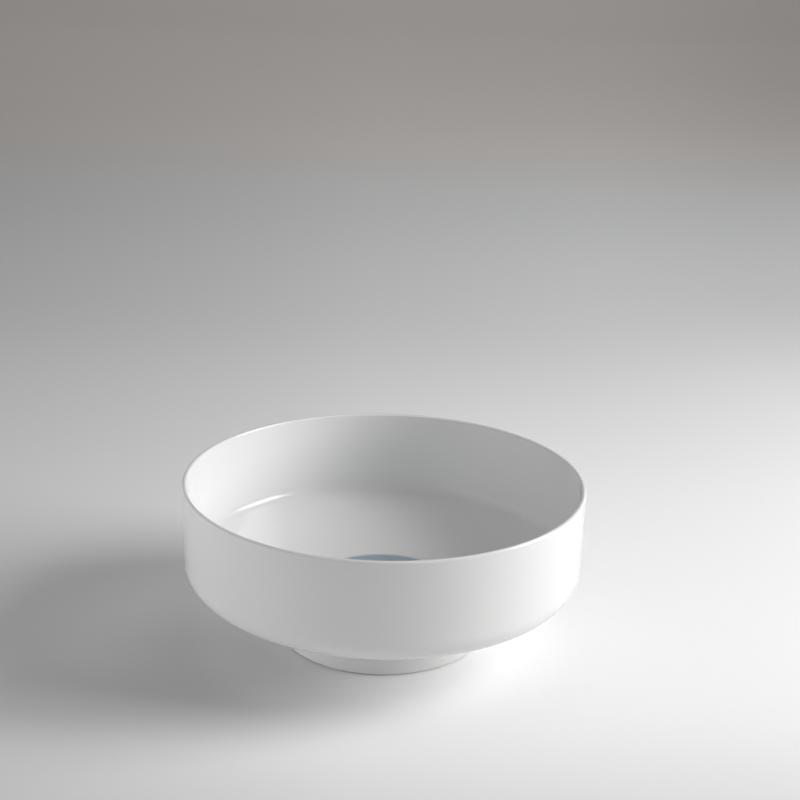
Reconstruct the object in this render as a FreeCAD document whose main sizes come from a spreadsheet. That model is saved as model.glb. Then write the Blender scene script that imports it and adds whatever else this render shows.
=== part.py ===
import FreeCAD, Part
import math
import os
import Sketcher

# Round vessel washbasin on a foot, with a click-clack waste under a wide metal cover.
# Millimetres, +Z up. The origin is the centre of the foot's bottom face. The cover is shut at rest.

# Driving sizes, one spreadsheet cell each
SIZES = {
    # The bowl's outside
    "basin_radius": 200.0,
    "basin_height": 164.0,
    "wall_lean": 1.6,
    "outer_corner_height": 63.1,
    "outer_corner_round": 25.0,
    "neck_height": 42.9,
    "neck_round": 4.0,
    "foot_radius": 103.0,
    "foot_wall": 10.5,
    "foot_edge_round": 0.5,
    "ground_ring_inset": 1.5,
    "ground_ring_height": 1.2,
    # The bowl's inside
    "rim_width": 5.0,
    "rim_round": 1.2,
    "inner_lean": 1.5,
    "inner_corner_height": 77.0,
    "inner_corner_round": 10.0,
    "well_edge_height": 48.0,
    "well_depth": 4.0,
    "well_lean": 1.2,
    "well_round": 1.5,
    "well_fall": 5.1,
    "seat_depth": 3.0,
    "seat_round": 0.8,
    # The foot's hollow
    "hollow_lean": 2.5,
    "hollow_round": 5.0,
    "hollow_height": 37.0,
    "boss_radius": 44.0,
    "boss_height": 26.0,
    "boss_round": 2.0,
    # The waste's flange and tail
    "flange_radius": 31.5,
    "flange_thickness": 2.0,
    "flange_round": 0.9,
    "tail_radius": 20.955,
    "tail_wall": 2.955,
    "tail_stand_off": 1.5,
    "tail_round": 0.8,
    "relief_width": 0.8,
    "relief_depth": 0.6,
    "throat_width": 3.5,
    "throat_depth": 3.0,
    # The cross web in the tail
    "hub_depth": 27.9,
    "hub_height": 5.0,
    "hub_radius": 7.0,
    "web_width": 2.4,
    # Seals, washer and nut
    "flange_seal_thickness": 1.0,
    "lower_seal_thickness": 4.5,
    "lower_seal_radius": 29.5,
    "seal_cone_height": 3.0,
    "slip_washer_thickness": 1.5,
    "slip_washer_radius": 29.8,
    "nut_height": 8.0,
    "nut_collar_radius": 30.5,
    "nut_collar_height": 2.0,
    "nut_half_flats": 26.0,
    "nut_chamfer": 2.2,
    # The clicker's barrel, cap and ring
    "barrel_radius": 8.0,
    "barrel_wall": 1.8,
    "barrel_floor": 1.5,
    "barrel_round": 0.5,
    "stud_radius": 3.95,
    "stud_length": 6.0,
    "cap_height": 3.0,
    "cap_round": 0.6,
    "spigot_length": 3.0,
    "ring_wire_radius": 0.6,
    "ring_groove_drop": 1.7,
    "guide_depth": 0.9,
    "guide_width": 1.6,
    # The spindle and the index rotor
    "spindle_radius": 3.0,
    "spindle_round": 0.4,
    "collar_height": 1.5,
    "pilot_radius": 2.0,
    "pilot_reach": 6.8,
    "tooth_height": 0.8,
    "tooth_width": 1.6,
    "tooth_inset": 0.4,
    "tooth_length": 1.3,
    "rotor_radius": 4.0,
    "rotor_height": 2.5,
    "lug_radius": 5.0,
    "lug_width": 1.8,
    "lug_height": 1.6,
    # The spring
    "spring_wire_radius": 0.4,
    "spring_radius": 3.6,
    # The cover and what it carries
    "cover_travel": 8.0,
    "cover_radius": 72.0,
    "cover_thickness": 2.0,
    "cover_crown": 1.1,
    "cover_edge_round": 0.8,
    "cover_lip_depth": 0.9,
    "cover_lip_width": 2.0,
    "cover_boss_radius": 6.5,
    "cover_boss_length": 2.7,
    "thread_depth": 2.0,
    "carrier_radius": 29.2,
    "carrier_thickness": 2.0,
    "carrier_round": 0.5,
    "cover_seal_thickness": 2.2,
    "cover_seal_width": 5.6,
    "cover_seal_wrap": 0.8,
    "lock_nut_height": 1.7,
    "lock_nut_half_flats": 5.0,
    # Clearances and overruns
    "cover_gap": 3.0,
    "seat_gap": 2.0,
    "hole_gap": 1.5,
    "seal_gap": 0.1,
    "cap_gap": 0.5,
    "stop_gap": 0.2,
    "slide_gap": 0.3,
    "running_gap": 0.05,
    "sink": 0.4,
    "overrun": 1.0,
}

# How much of the cover's sloping band its rounded crown takes
CROWN_ROUND_SHARE = 0.6

# Places and sizes that follow from the driving sizes
PLACES = {
    # Radii of the bowl
    "rim_inner_radius": "sizes.basin_radius - sizes.rim_width",
    "inner_corner_radius": "rim_inner_radius - sizes.inner_lean",
    "outer_corner_radius": "sizes.basin_radius - sizes.wall_lean",
    "ground_ring_radius": "sizes.foot_radius - sizes.ground_ring_inset",
    "hollow_low_radius": "sizes.foot_radius - sizes.foot_wall",
    "hollow_top_radius": "hollow_low_radius - sizes.hollow_lean",
    "well_radius": "sizes.cover_radius + sizes.cover_gap",
    "well_floor_radius": "well_radius - sizes.well_lean",
    "seat_radius": "sizes.flange_radius + sizes.seat_gap",
    "drain_hole_radius": "sizes.tail_radius + sizes.hole_gap",
    # Heights of the bowl
    "well_floor_height": "sizes.well_edge_height - sizes.well_depth",
    "seat_edge_height": "well_floor_height - sizes.well_fall",
    "seat_height": "seat_edge_height - sizes.seat_depth",
    # The waste body
    "tail_bore": "sizes.tail_radius - sizes.tail_wall",
    "throat_radius": "tail_bore + sizes.throat_width",
    "flange_low": "seat_height + sizes.flange_seal_thickness",
    "flange_top": "flange_low + sizes.flange_thickness",
    "throat_low": "flange_top - sizes.throat_depth",
    "hub_top": "flange_top - sizes.hub_depth",
    "hub_low": "hub_top - sizes.hub_height",
    "hub_bore": "sizes.stud_radius + sizes.running_gap",
    "web_half": "sizes.web_width / 2",
    "web_reach": "tail_bore + sizes.sink",
    "relief_radius": "sizes.tail_radius - sizes.relief_depth",
    "relief_low": "nut_low - sizes.relief_width",
    # The stack under the ceramic
    "flange_seal_bore": "drain_hole_radius + sizes.sink",
    "flange_seal_radius": "sizes.flange_radius - sizes.flange_round",
    "ring_bore": "sizes.tail_radius + sizes.slide_gap",
    "nut_bore": "sizes.tail_radius + sizes.running_gap",
    "seal_cone_low": "drain_hole_radius - sizes.slide_gap",
    "seal_cone_top": "ring_bore + sizes.sink",
    "seal_cone_height_top": "sizes.boss_height + sizes.seal_cone_height",
    "lower_seal_low": "sizes.boss_height - sizes.lower_seal_thickness",
    "slip_washer_low": "lower_seal_low - sizes.slip_washer_thickness",
    "nut_low": "slip_washer_low - sizes.nut_height",
    "nut_collar_low": "slip_washer_low - sizes.nut_collar_height",
    "nut_corner": "sizes.nut_half_flats * 2 / sqrt(3)",
    "nut_corner_half": "nut_corner / 2",
    "nut_hex_height": "sizes.nut_height - sizes.nut_collar_height",
    "nut_cut_start": "nut_corner - sizes.nut_chamfer",
    "nut_cut_end": "nut_corner + sizes.overrun",
    "nut_cut_low": "nut_low - sizes.overrun",
    "nut_cut_top": "nut_low + (sizes.nut_chamfer + sizes.overrun) / sqrt(3)",
    "nut_bore_top": "slip_washer_low + sizes.overrun",
    # The stack on the spindle
    "cover_seal_low": "flange_top + sizes.seal_gap",
    "carrier_low": "cover_seal_low + sizes.cover_seal_thickness",
    "carrier_top": "carrier_low + sizes.carrier_thickness",
    "cover_under": "carrier_top + sizes.cover_boss_length",
    "cover_edge_top": "cover_under + sizes.cover_thickness",
    "cover_apex": "cover_edge_top + sizes.cover_crown",
    "cover_lip_low": "cover_under - sizes.cover_lip_depth",
    "cover_lip_radius": "sizes.cover_radius - sizes.cover_lip_width",
    "crown_break": "sizes.cover_radius / 2",
    "crown_round": f"{CROWN_ROUND_SHARE} * sizes.cover_radius ^ 2 / (2 * sizes.cover_crown)",
    "thread_bore": "sizes.spindle_radius + sizes.running_gap",
    "thread_top": "carrier_top + sizes.thread_depth",
    "spindle_top": "thread_top - sizes.slide_gap",
    "cover_seal_bore": "cover_seal_radius - sizes.cover_seal_width",
    "cover_seal_radius": "sizes.carrier_radius + sizes.cover_seal_wrap",
    "cover_seal_lip": "carrier_low + sizes.cover_seal_wrap",
    "carrier_seat": "sizes.carrier_radius + sizes.running_gap",
    "lock_nut_low": "carrier_low - sizes.lock_nut_height",
    "lock_nut_corner": "sizes.lock_nut_half_flats * 2 / sqrt(3)",
    "lock_nut_corner_half": "lock_nut_corner / 2",
    # The clicker
    "cap_top": "lock_nut_low - sizes.cap_gap",
    "barrel_top": "cap_top - sizes.cap_height",
    "barrel_bore": "sizes.barrel_radius - sizes.barrel_wall",
    "barrel_floor_top": "hub_top + sizes.barrel_floor",
    "stud_low": "hub_top - sizes.stud_length",
    "spigot_low": "barrel_top - sizes.spigot_length",
    "spigot_radius": "barrel_bore - sizes.running_gap",
    "ring_radius": "sizes.spindle_radius + sizes.running_gap * 2 + sizes.ring_wire_radius",
    "ring_height": "cap_top - sizes.ring_groove_drop",
    "ring_groove_radius": "ring_radius + sizes.ring_wire_radius + sizes.running_gap",
    "ring_groove_low": "ring_height - sizes.ring_wire_radius - sizes.running_gap",
    "ring_groove_top": "ring_height + sizes.ring_wire_radius + sizes.running_gap",
    "guide_radius": "barrel_bore - sizes.guide_depth",
    "guide_reach": "barrel_bore + sizes.sink",
    "guide_half": "sizes.guide_width / 2",
    "guide_length": "spigot_low - sizes.slide_gap - collar_low",
    # The spindle and the rotor
    "collar_top": "spigot_low - sizes.stop_gap - sizes.cover_travel",
    "collar_low": "collar_top - sizes.collar_height",
    "collar_radius": "barrel_bore - sizes.slide_gap",
    "notch_radius": "guide_radius - sizes.slide_gap",
    "notch_reach": "collar_radius + sizes.overrun",
    "notch_half": "guide_half + sizes.slide_gap",
    "pilot_low": "collar_low - sizes.pilot_reach",
    "tooth_half": "sizes.tooth_width / 2",
    "tooth_start": "rotor_bore + sizes.tooth_inset",
    "drive_tooth_low": "collar_low - sizes.tooth_height",
    "collar_root": "collar_low + sizes.sink",
    "rotor_bore": "sizes.pilot_radius + sizes.running_gap",
    "rotor_tooth_top": "drive_tooth_low - sizes.stop_gap",
    "rotor_top": "rotor_tooth_top - sizes.tooth_height",
    "rotor_root": "rotor_top - sizes.sink",
    "rotor_low": "rotor_top - sizes.rotor_height",
    "lug_start": "sizes.rotor_radius - sizes.sink",
    "lug_half": "sizes.lug_width / 2",
    # The spring
    "spring_low": "barrel_floor_top + sizes.spring_wire_radius",
    "spring_height": "rotor_low - sizes.spring_wire_radius - spring_low",
}

WEB_ARMS = 4
GUIDE_COUNT = 4
TOOTH_COUNT = 8
SPRING_TURNS = 4.5
FULL_TURN = 360

document = FreeCAD.newDocument("washbasin")
sub_parts = []


def write_sheet(name, contents):
    """Writes one cell per name, with the name beside it and as its alias."""
    sheet = document.addObject("Spreadsheet::Sheet", name)
    for row, (alias, content) in enumerate(contents.items(), start=1):
        sheet.set(f"A{row}", alias)
        sheet.set(f"B{row}", content)
        sheet.setAlias(f"B{row}", alias)
    return sheet


sizes = write_sheet("sizes", {alias: str(size) for alias, size in SIZES.items()})
places = write_sheet("places", {alias: "=" + formula for alias, formula in PLACES.items()})
document.recompute()


def cell(name):
    """The expression for a named size or place, which a minus sign may precede."""
    word = name.lstrip("-")
    sheet = "sizes" if word in SIZES else "places"
    return name.replace(word, f"{sheet}.{word}")


def value(name):
    """The number behind a named size or place, in millimetres."""
    if name == "0":
        return 0.0
    word = name.lstrip("-")
    number = float((sizes if word in SIZES else places).get(word))
    return -number if name.startswith("-") else number


def new_body(label):
    """Starts a sub-part that is built from features."""
    body = document.addObject("PartDesign::Body", label)
    body.Label = label
    sub_parts.append(body)
    return body


def origin_feature(body, role):
    """The body's own origin plane or axis with this role."""
    return next(item for item in body.Origin.OriginFeatures if item.Role == role)


def hold(sketch, direction, element, end, name):
    """Holds one coordinate of a point at a named place, or on the axis for zero."""
    axis = {"X": -2, "Y": -1}[direction]
    if name == "0":
        sketch.addConstraint(Sketcher.Constraint("PointOnObject", element, end, axis))
        return
    size = abs(value(name))
    kind = "Distance" + direction
    if name.startswith("-"):
        constraint = Sketcher.Constraint(kind, element, end, -1, 1, size)
    else:
        constraint = Sketcher.Constraint(kind, -1, 1, element, end, size)
    index = sketch.addConstraint(constraint)
    sketch.setExpression(f"Constraints[{index}]", cell(name.lstrip("-")))


def rounded_corner(before, corner, after, radius):
    """The two tangent points and the centre of an arc that rounds a corner."""
    back = (before - corner).normalize()
    ahead = (after - corner).normalize()
    half_angle = back.getAngle(ahead) / 2
    reach = radius / math.tan(half_angle)
    middle = (back + ahead).normalize()
    centre = corner + middle * (radius / math.sin(half_angle))
    return corner + back * reach, corner + ahead * reach, centre


def corner_arc(start, end, centre, radius):
    """The short arc between two points, and whether it runs from start to end."""
    first = math.atan2(start.y - centre.y, start.x - centre.x)
    last = math.atan2(end.y - centre.y, end.x - centre.x)
    forward = (last - first) % math.tau < math.pi
    if not forward:
        first, last = last, first
    circle = Part.Circle(centre, FreeCAD.Vector(0, 0, 1), radius)
    return Part.ArcOfCircle(circle, first, last), forward


def outline(body, corners, plane="XZ_Plane", lift=None):
    """A closed sketch through corners, each (across, up) or (across, up, round), by name."""
    sketch = body.newObject("Sketcher::SketchObject", "Outline")
    sketch.AttachmentSupport = [(origin_feature(body, plane), "")]
    sketch.MapMode = "FlatFace"
    if lift:
        sketch.setExpression("AttachmentOffset.Base.z", cell(lift))
    points = [FreeCAD.Vector(value(corner[0]), value(corner[1]), 0) for corner in corners]
    rounds = [corner[2] if len(corner) > 2 else None for corner in corners]
    count = len(corners)
    trims = []
    for index, point in enumerate(points):
        if rounds[index]:
            after = points[(index + 1) % count]
            trims.append(rounded_corner(points[index - 1], point, after, value(rounds[index])))
        else:
            trims.append((point, point, point))
    lines = []
    for index in range(count):
        segment = Part.LineSegment(trims[index][1], trims[(index + 1) % count][0])
        lines.append(sketch.addGeometry(segment, False))
    for index, corner in enumerate(corners):
        before = lines[index - 1]
        after = lines[index]
        if rounds[index]:
            start, end, centre = trims[index]
            arc, forward = corner_arc(start, end, centre, value(rounds[index]))
            bend = sketch.addGeometry(arc, False)
            first, last = (1, 2) if forward else (2, 1)
            vertex = sketch.addGeometry(Part.Point(points[index]), True)
            sketch.addConstraint(Sketcher.Constraint("Tangent", before, 2, bend, first))
            sketch.addConstraint(Sketcher.Constraint("Tangent", bend, last, after, 1))
            size = sketch.addConstraint(Sketcher.Constraint("Radius", bend, value(rounds[index])))
            sketch.setExpression(f"Constraints[{size}]", cell(rounds[index]))
            sketch.addConstraint(Sketcher.Constraint("PointOnObject", vertex, 1, before))
            sketch.addConstraint(Sketcher.Constraint("PointOnObject", vertex, 1, after))
            held = (vertex, 1)
        else:
            sketch.addConstraint(Sketcher.Constraint("Coincident", before, 2, after, 1))
            held = (after, 1)
        hold(sketch, "X", *held, corner[0])
        hold(sketch, "Y", *held, corner[1])
    return sketch


def turn(body, corners, kind="PartDesign::Revolution"):
    """Adds, or with a groove cuts, a ring turned about the Z axis."""
    sketch = outline(body, corners)
    feature = body.newObject(kind, "Turned")
    feature.Profile = sketch
    feature.ReferenceAxis = (sketch, ["V_Axis"])
    feature.Angle = FULL_TURN
    body.Tip = feature
    return feature


def pad(body, sketch, length):
    """Adds the sketch's outline as a block of a named length."""
    feature = body.newObject("PartDesign::Pad", "Block")
    feature.Profile = sketch
    feature.setExpression("Length", cell(length))
    body.Tip = feature
    return feature


def pocket(body, sketch, length):
    """Cuts the sketch's outline upwards by a named length."""
    feature = body.newObject("PartDesign::Pocket", "Cut")
    feature.Profile = sketch
    feature.Reversed = True
    feature.setExpression("Length", cell(length))
    body.Tip = feature
    return feature


def repeat(body, feature, count):
    """Repeats a feature evenly about the Z axis."""
    pattern = body.newObject("PartDesign::PolarPattern", "Repeated")
    pattern.Originals = [feature]
    pattern.Axis = (origin_feature(body, "Z_Axis"), [""])
    pattern.Angle = FULL_TURN
    pattern.Occurrences = count
    body.Tip = pattern
    return pattern


def box_corners(start, end, low, high):
    """The four corners of a rectangle."""
    return [(start, low), (end, low), (end, high), (start, high)]


def hexagon_corners(corner, corner_half, half_flats):
    """The six corners of a hexagon with two corners on the X axis."""
    return [
        (corner, "0"),
        (corner_half, half_flats),
        ("-" + corner_half, half_flats),
        ("-" + corner, "0"),
        ("-" + corner_half, "-" + half_flats),
        (corner_half, "-" + half_flats),
    ]


def teeth(body, root, tip):
    """Eight pointed teeth in a ring, each a wedge that stands on a flat face."""
    wedge = [("-tooth_half", root), ("tooth_half", root), ("tooth_half", tip)]
    sketch = outline(body, wedge, "YZ_Plane", "tooth_start")
    repeat(body, pad(body, sketch, "tooth_length"), TOOTH_COUNT)


def make_bowl():
    """The fired bowl: thin rim, lying cone as floor, cover's well, drain seat and hollow foot.

    The foot stands on a ground ring, set back under the glaze's edge.
    """
    body = new_body("basin_bowl")
    turn(body, [
        ("drain_hole_radius", "boss_height", "seat_round"),
        ("boss_radius", "boss_height", "boss_round"),
        ("hollow_top_radius", "hollow_height", "hollow_round"),
        ("hollow_low_radius", "0", "foot_edge_round"),
        ("ground_ring_radius", "0", "foot_edge_round"),
        ("ground_ring_radius", "ground_ring_height"),
        ("foot_radius", "ground_ring_height", "foot_edge_round"),
        ("foot_radius", "neck_height", "neck_round"),
        ("outer_corner_radius", "outer_corner_height", "outer_corner_round"),
        ("basin_radius", "basin_height", "rim_round"),
        ("rim_inner_radius", "basin_height", "rim_round"),
        ("inner_corner_radius", "inner_corner_height", "inner_corner_round"),
        ("well_radius", "well_edge_height", "well_round"),
        ("well_floor_radius", "well_floor_height", "well_round"),
        ("seat_radius", "seat_edge_height", "seat_round"),
        ("seat_radius", "seat_height", "seat_round"),
        ("drain_hole_radius", "seat_height", "seat_round"),
    ])


def make_waste_body():
    """Flange, throat and tail, with a cross web and a hub that takes the clicker's stud.

    A relief groove ends the outlet's thread just below the nut.
    """
    body = new_body("waste_body")
    turn(body, [
        ("tail_bore", "tail_stand_off"),
        ("tail_radius", "tail_stand_off", "tail_round"),
        ("tail_radius", "relief_low"),
        ("relief_radius", "relief_low"),
        ("relief_radius", "nut_low"),
        ("tail_radius", "nut_low"),
        ("tail_radius", "flange_low"),
        ("flange_radius", "flange_low"),
        ("flange_radius", "flange_top", "flange_round"),
        ("throat_radius", "flange_top", "tail_round"),
        ("tail_bore", "throat_low", "tail_round"),
    ])
    arm = outline(body, box_corners("0", "web_reach", "-web_half", "web_half"), "XY_Plane", "hub_low")
    repeat(body, pad(body, arm, "hub_height"), WEB_ARMS)
    turn(body, box_corners("0", "hub_radius", "hub_low", "hub_top"))
    turn(body, box_corners("0", "hub_bore", "hub_low", "hub_top"), "PartDesign::Groove")


def make_seals():
    """The rings that seal the ceramic, above and below."""
    flange_seal = new_body("flange_seal")
    turn(flange_seal, box_corners("flange_seal_bore", "flange_seal_radius", "seat_height", "flange_low"))
    lower_seal = new_body("lower_seal")
    turn(lower_seal, [
        ("ring_bore", "lower_seal_low"),
        ("lower_seal_radius", "lower_seal_low", "seat_round"),
        ("lower_seal_radius", "boss_height", "seat_round"),
        ("seal_cone_low", "boss_height"),
        ("seal_cone_top", "seal_cone_height_top"),
        ("ring_bore", "seal_cone_height_top"),
    ])


def make_slip_washer():
    """The thin washer between the rubber and the nut."""
    body = new_body("slip_washer")
    turn(body, box_corners("ring_bore", "slip_washer_radius", "slip_washer_low", "lower_seal_low"))


def make_back_nut():
    """The hexagon nut with its collar, chamfered below."""
    body = new_body("back_nut")
    hexagon = hexagon_corners("nut_corner", "nut_corner_half", "nut_half_flats")
    pad(body, outline(body, hexagon, "XY_Plane", "nut_low"), "nut_hex_height")
    turn(body, [
        ("0", "nut_collar_low"),
        ("nut_collar_radius", "nut_collar_low", "cap_round"),
        ("nut_collar_radius", "slip_washer_low", "cap_round"),
        ("0", "slip_washer_low"),
    ])
    turn(body, [
        ("nut_cut_start", "nut_low"),
        ("nut_cut_start", "nut_cut_low"),
        ("nut_cut_end", "nut_cut_low"),
        ("nut_cut_end", "nut_cut_top"),
    ], "PartDesign::Groove")
    turn(body, box_corners("0", "nut_bore", "nut_cut_low", "nut_bore_top"), "PartDesign::Groove")


def make_clicker_housing():
    """The barrel with its stud and four guide ribs."""
    body = new_body("clicker_housing")
    turn(body, [
        ("0", "stud_low"),
        ("stud_radius", "stud_low", "spindle_round"),
        ("stud_radius", "hub_top"),
        ("barrel_radius", "hub_top", "barrel_round"),
        ("barrel_radius", "barrel_top"),
        ("barrel_bore", "barrel_top"),
        ("barrel_bore", "barrel_floor_top"),
        ("0", "barrel_floor_top"),
    ])
    rib = box_corners("guide_radius", "guide_reach", "-guide_half", "guide_half")
    repeat(body, pad(body, outline(body, rib, "XY_Plane", "collar_low"), "guide_length"), GUIDE_COUNT)


def make_clicker_cap():
    """The gland on the barrel, with the ring's groove in its bore."""
    body = new_body("clicker_cap")
    turn(body, [
        ("thread_bore", "spigot_low"),
        ("spigot_radius", "spigot_low"),
        ("spigot_radius", "barrel_top"),
        ("barrel_radius", "barrel_top"),
        ("barrel_radius", "cap_top", "cap_round"),
        ("thread_bore", "cap_top"),
        ("thread_bore", "ring_groove_top"),
        ("ring_groove_radius", "ring_groove_top"),
        ("ring_groove_radius", "ring_groove_low"),
        ("thread_bore", "ring_groove_low"),
    ])


def make_spindle_ring():
    """The O-ring in the cap."""
    ring = document.addObject("Part::Torus", "spindle_ring")
    ring.Label = "spindle_ring"
    ring.setExpression("Radius1", cell("ring_radius"))
    ring.setExpression("Radius2", cell("ring_wire_radius"))
    ring.setExpression("Placement.Base.z", cell("ring_height"))
    sub_parts.append(ring)


def make_clicker_spindle():
    """The rod with its notched collar, driving teeth and pilot pin."""
    body = new_body("clicker_spindle")
    turn(body, [
        ("0", "pilot_low"),
        ("pilot_radius", "pilot_low", "spindle_round"),
        ("pilot_radius", "collar_low"),
        ("collar_radius", "collar_low"),
        ("collar_radius", "collar_top"),
        ("spindle_radius", "collar_top"),
        ("spindle_radius", "spindle_top", "spindle_round"),
        ("0", "spindle_top"),
    ])
    notch = box_corners("notch_radius", "notch_reach", "-notch_half", "notch_half")
    cut = pocket(body, outline(body, notch, "XY_Plane", "collar_low"), "collar_height")
    repeat(body, cut, GUIDE_COUNT)
    teeth(body, "collar_root", "drive_tooth_low")


def make_index_rotor():
    """The ratchet wheel: sleeve, four lugs and a crown of teeth."""
    body = new_body("index_rotor")
    turn(body, box_corners("rotor_bore", "rotor_radius", "rotor_low", "rotor_top"))
    lug = box_corners("lug_start", "lug_radius", "-lug_half", "lug_half")
    repeat(body, pad(body, outline(body, lug, "XY_Plane", "rotor_low"), "lug_height"), GUIDE_COUNT)
    teeth(body, "rotor_root", "rotor_tooth_top")


def make_clicker_spring():
    """The compression spring between the barrel's floor and the rotor, as one coiled tube."""
    body = new_body("clicker_spring")
    sketch = body.newObject("Sketcher::SketchObject", "Outline")
    sketch.AttachmentSupport = [(origin_feature(body, "XZ_Plane"), "")]
    sketch.MapMode = "FlatFace"
    centre = FreeCAD.Vector(value("spring_radius"), value("spring_low"), 0)
    wire = Part.Circle(centre, FreeCAD.Vector(0, 0, 1), value("spring_wire_radius"))
    circle = sketch.addGeometry(wire, False)
    size = sketch.addConstraint(Sketcher.Constraint("Radius", circle, value("spring_wire_radius")))
    sketch.setExpression(f"Constraints[{size}]", cell("spring_wire_radius"))
    hold(sketch, "X", circle, 3, "spring_radius")
    hold(sketch, "Y", circle, 3, "spring_low")
    coil = body.newObject("PartDesign::AdditiveHelix", "Coil")
    coil.Profile = sketch
    coil.ReferenceAxis = (sketch, ["V_Axis"])
    coil.Mode = "height-turns-angle"
    coil.setExpression("Height", cell("spring_height"))
    coil.Turns = SPRING_TURNS
    body.Tip = coil


def make_cover():
    """The wide cover: a slightly crowned disc with a turned-down lip and a threaded boss."""
    body = new_body("drain_cover")
    turn(body, [
        ("0", "thread_top"),
        ("thread_bore", "thread_top"),
        ("thread_bore", "carrier_top"),
        ("cover_boss_radius", "carrier_top"),
        ("cover_boss_radius", "cover_under", "cover_edge_round"),
        ("cover_lip_radius", "cover_under"),
        ("cover_lip_radius", "cover_lip_low"),
        ("cover_radius", "cover_lip_low"),
        ("cover_radius", "cover_edge_top", "cover_edge_round"),
        ("crown_break", "cover_apex", "crown_round"),
        ("0", "cover_apex"),
    ])


def make_plug_carrier():
    """The disc under the cover that holds the seal."""
    body = new_body("plug_carrier")
    turn(body, [
        ("thread_bore", "carrier_low"),
        ("carrier_radius", "carrier_low"),
        ("carrier_radius", "carrier_top", "carrier_round"),
        ("thread_bore", "carrier_top"),
    ])


def make_cover_seal():
    """The rubber ring that wraps the carrier's edge and closes on the flange."""
    body = new_body("cover_seal")
    turn(body, [
        ("cover_seal_bore", "cover_seal_low"),
        ("cover_seal_radius", "cover_seal_low", "carrier_round"),
        ("cover_seal_radius", "cover_seal_lip"),
        ("carrier_seat", "cover_seal_lip"),
        ("carrier_seat", "carrier_low"),
        ("cover_seal_bore", "carrier_low"),
    ])


def make_lock_nut():
    """The thin hexagon nut under the carrier."""
    body = new_body("lock_nut")
    hexagon = hexagon_corners("lock_nut_corner", "lock_nut_corner_half", "lock_nut_half_flats")
    pad(body, outline(body, hexagon, "XY_Plane", "lock_nut_low"), "lock_nut_height")
    turn(body, box_corners("0", "thread_bore", "cap_top", "carrier_top"), "PartDesign::Groove")


def write_parts():
    """Checks every object, then writes one STEP file for each sub-part."""
    document.recompute()
    failed = [item.Name for item in document.Objects if {"Invalid", "Error"} & set(item.State)]
    if failed:
        raise RuntimeError("these objects did not build: " + ", ".join(failed))
    for item in sub_parts:
        if item.Shape.isNull() or not item.Shape.isValid() or len(item.Shape.Solids) != 1:
            raise RuntimeError(item.Label + " is not one valid solid")
    os.makedirs("parts", exist_ok=True)
    for item in sub_parts:
        item.Shape.exportStep(os.path.join("parts", item.Label + ".step"))
        box = item.Shape.BoundBox
        print(f"{item.Label}: {item.Shape.Volume:.1f} mm3, z {box.ZMin:.2f} to {box.ZMax:.2f}")


make_bowl()
make_waste_body()
make_seals()
make_slip_washer()
make_back_nut()
make_clicker_housing()
make_clicker_cap()
make_spindle_ring()
make_clicker_spindle()
make_index_rotor()
make_clicker_spring()
make_cover()
make_plug_carrier()
make_cover_seal()
make_lock_nut()
write_parts()
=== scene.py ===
import math

import bmesh
import bpy
from mathutils import Matrix, Vector, noise


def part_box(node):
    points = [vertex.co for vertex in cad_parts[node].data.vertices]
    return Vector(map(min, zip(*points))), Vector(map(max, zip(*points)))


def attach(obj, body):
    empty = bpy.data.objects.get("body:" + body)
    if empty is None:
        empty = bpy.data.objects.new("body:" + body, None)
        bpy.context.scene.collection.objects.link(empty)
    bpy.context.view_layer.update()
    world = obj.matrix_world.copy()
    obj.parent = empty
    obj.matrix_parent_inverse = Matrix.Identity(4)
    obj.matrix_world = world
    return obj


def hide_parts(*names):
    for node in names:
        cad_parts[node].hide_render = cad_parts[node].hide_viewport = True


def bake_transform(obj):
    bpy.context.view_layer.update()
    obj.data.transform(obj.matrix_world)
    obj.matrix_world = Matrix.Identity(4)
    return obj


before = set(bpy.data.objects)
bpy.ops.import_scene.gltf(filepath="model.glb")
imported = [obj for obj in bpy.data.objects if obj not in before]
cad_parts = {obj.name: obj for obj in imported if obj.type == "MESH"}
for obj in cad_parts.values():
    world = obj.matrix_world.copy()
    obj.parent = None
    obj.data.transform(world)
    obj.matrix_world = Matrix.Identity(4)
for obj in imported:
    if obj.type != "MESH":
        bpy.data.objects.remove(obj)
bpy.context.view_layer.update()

# Round vessel washbasin on a foot, with its waste. Metres, +Z up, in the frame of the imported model.

MM = 0.001
FULL_TURN = 2 * math.pi

# Sizes of the bowl that its box doesn't give, in metres
WALL_LEAN = 1.6 * MM
OUTER_CORNER_HEIGHT = 63.1 * MM
OUTER_CORNER_ROUND = 25 * MM
NECK_HEIGHT = 42.9 * MM
NECK_ROUND = 4 * MM
FOOT_RADIUS = 103 * MM
FOOT_WALL = 10.5 * MM
FOOT_EDGE_ROUND = 0.5 * MM
GROUND_RING_INSET = 1.5 * MM
GROUND_RING_HEIGHT = 1.2 * MM
GROUND_STEP_ROUND = 0.3 * MM
RIM_WIDTH = 5 * MM
RIM_ROUND = 2.35 * MM
INNER_LEAN = 1.5 * MM
INNER_CORNER_HEIGHT = 77 * MM
INNER_CORNER_ROUND = 10 * MM
WELL_GAP = 3 * MM
WELL_EDGE_HEIGHT = 48 * MM
WELL_DEPTH = 4 * MM
WELL_LEAN = 1.2 * MM
WELL_ROUND = 1.5 * MM
WELL_FALL = 5.1 * MM
SEAT_GAP = 2 * MM
SEAT_ROUND = 0.8 * MM
HOLE_GAP = 1.5 * MM
HOLLOW_LEAN = 2.5 * MM
HOLLOW_ROUND = 5 * MM
HOLLOW_HEIGHT = 37 * MM
BOSS_RADIUS = 44 * MM
BOSS_ROUND = 2 * MM
BOSS_ABOVE_SEAL = 4.5 * MM

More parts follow.
